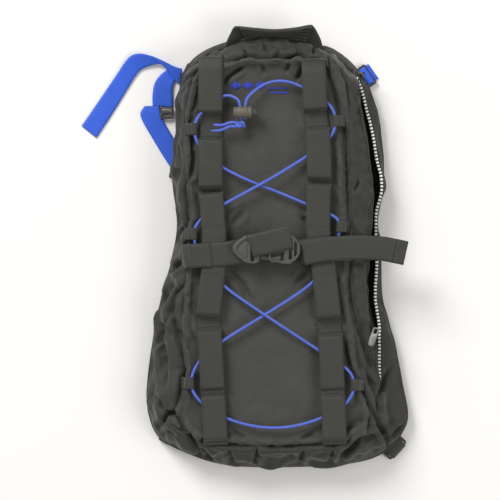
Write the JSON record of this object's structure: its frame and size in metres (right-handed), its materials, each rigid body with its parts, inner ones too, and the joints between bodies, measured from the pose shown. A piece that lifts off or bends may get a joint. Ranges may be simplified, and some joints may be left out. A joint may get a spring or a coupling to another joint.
{
  "type": "ski backpack",
  "caption": "Slim panel-loading ski backpack, empty, lying on its back, with daisy-chain webbing, laced shock cord, a side-release compression strap and blue harness webbing.",
  "frame": {"origin": "centre of the flat rear face of the spine pad, which the pack rests on", "axes": "+Z out of the front panel, +Y towards the grab handle, +X towards the side with the open zip"},
  "size_m": [0.3414, 0.4613, 0.066],
  "materials": {
    "shell_fabric": "matt woven nylon",
    "foam": "closed-cell foam",
    "frame_sheet": "plain sheet",
    "mesh_pad": "spacer mesh over foam",
    "zip_tape": "woven tape",
    "zip_teeth": "moulded",
    "black_metal": "satin enamel",
    "grey_metal": "satin enamel",
    "black_webbing": "ribbed webbing",
    "blue_webbing": "ribbed webbing",
    "blue_cord": "braided elastic cord",
    "blue_thread": "satin stitch",
    "brown_plastic": "moulded",
    "black_plastic": "satin acetal",
    "spring_steel": "bare wire"
  },
  "bodies": {
    "pack": {"back_panel": "shell_fabric", "back_foam": "foam", "frame_sheet": "frame_sheet", "spine_pad": "mesh_pad", "left_gusset": "shell_fabric", "top_gusset": "shell_fabric", "bottom_panel": "shell_fabric", "right_gusset_lower": "shell_fabric", "right_gusset_rear": "shell_fabric", "right_gusset_front": "shell_fabric", "front_panel": "shell_fabric", "zipper_tape_rear": "zip_tape", "zipper_teeth_rear": "zip_teeth", "zipper_tape_front": "zip_tape", "zipper_teeth_front": "zip_teeth", "zipper_chain_top": "zip_teeth", "zipper_slider_lower": "black_metal", "daisy_chain_left": "black_webbing", "daisy_chain_right": "black_webbing", "cord_loop_left_top": "black_webbing", "cord_loop_left_mid": "black_webbing", "cord_loop_left_low": "black_webbing", "cord_loop_right_top": "black_webbing", "cord_loop_right_mid": "black_webbing", "cord_loop_right_low": "black_webbing", "shock_cord": "blue_cord", "cord_lock_barrel": "brown_plastic", "cord_lock_spring": "spring_steel", "cord_knot": "blue_cord", "strap_anchor_left": "black_webbing", "strap_left": "black_webbing", "buckle_female": "black_plastic", "strap_right": "black_webbing", "emblem": "blue_thread", "lower_web_left": "blue_webbing", "lower_web_right": "blue_webbing", "lower_lock_left": "black_plastic", "lower_lock_right": "black_plastic", "lifter_lock_left": "black_plastic", "lifter_lock_right": "black_plastic", "lifter_web_left": "blue_webbing", "lifter_web_right": "blue_webbing"},
    "cord_lock_button": {"cord_lock_plunger": "black_plastic"},
    "buckle_clip": {"buckle_male": "black_plastic", "strap_tail_left": "black_webbing"},
    "prong_upper": {"buckle_prong_upper": "black_plastic"},
    "prong_lower": {"buckle_prong_lower": "black_plastic"},
    "zip_slider": {"zipper_slider": "black_metal"},
    "zip_pull": {"zipper_pull": "black_metal"},
    "zip_pull_lower": {"zipper_pull_lower": "grey_metal"},
    "handle": {"grab_handle": "black_webbing"},
    "tail_right": {"strap_tail_right": "black_webbing"},
    "tail_left": {"lifter_tail_left": "blue_webbing"},
    "shoulder_left": {"shoulder_strap_left": "mesh_pad", "sternum_web_left": "blue_webbing", "sternum_slider": "black_plastic", "sternum_buckle": "black_plastic"},
    "shoulder_right": {"shoulder_strap_right": "mesh_pad"}
  },
  "joints": [
    {"name": "cord_lock_press", "type": "slide", "parent": "pack", "child": "cord_lock_button", "axis": [-1, 0, 0], "range_m": [0, 0.004], "stiffness_N_per_m": 300, "springref_m": -0.002},
    {"name": "buckle_release", "type": "slide", "parent": "pack", "child": "buckle_clip", "axis": [-1, 0, 0], "range_m": [0, 0.024]},
    {"name": "prong_upper_squeeze", "type": "hinge", "parent": "buckle_clip", "child": "prong_upper", "pos_m": [-0.0187, 0.0095, 0.0607], "axis": [0, 0, -1], "range_deg": [0, 7], "stiffness_Nm_per_rad": 0.2},
    {"name": "prong_lower_squeeze", "type": "hinge", "parent": "buckle_clip", "child": "prong_lower", "pos_m": [-0.0187, -0.0075, 0.0607], "axis": [0, 0, 1], "range_deg": [0, 7], "stiffness_Nm_per_rad": 0.2},
    {"name": "zip_slider_run", "type": "hinge", "parent": "pack", "child": "zip_slider", "pos_m": [0.0085, 0.1245, 0.024], "axis": [0, 0, 1], "range_deg": [0, 19]},
    {"name": "zip_pull_flap", "type": "hinge", "parent": "zip_slider", "child": "zip_pull", "pos_m": [0.08875, 0.18281, 0.024], "axis": [-0.5878, 0.809, 0], "range_deg": [0, 95]},
    {"name": "zip_pull_lower_flap", "type": "hinge", "parent": "pack", "child": "zip_pull_lower", "pos_m": [0.1029, -0.088, 0.0377], "axis": [0, 0, -1], "range_deg": [0, 80]},
    {"name": "handle_swing", "type": "hinge", "parent": "pack", "child": "handle", "pos_m": [0, 0.2178, 0.0365], "axis": [1, 0, 0], "range_deg": [0, 80]},
    {"name": "strap_tail_lift", "type": "hinge", "parent": "pack", "child": "tail_right", "pos_m": [0.026, -0.0025, 0.0572], "axis": [0.1758, -0.9844, 0], "range_deg": [0, 85]},
    {"name": "lifter_tail_lift", "type": "hinge", "parent": "pack", "child": "tail_left", "pos_m": [-0.104, 0.1794, 0.0004], "axis": [0.4327, 0.9015, 0], "range_deg": [0, 75]},
    {"name": "shoulder_left_hang", "type": "hinge", "parent": "pack", "child": "shoulder_left", "pos_m": [-0.057, 0.1892, 0.0077], "axis": [1, 0, 0], "range_deg": [0, 30]},
    {"name": "shoulder_right_hang", "type": "hinge", "parent": "pack", "child": "shoulder_right", "pos_m": [0.057, 0.1892, 0.0077], "axis": [1, 0, 0], "range_deg": [0, 30]}
  ],
  "couplings": [
    {"joint": "prong_lower_squeeze", "follows": "prong_upper_squeeze", "ratio": 1}
  ]
}
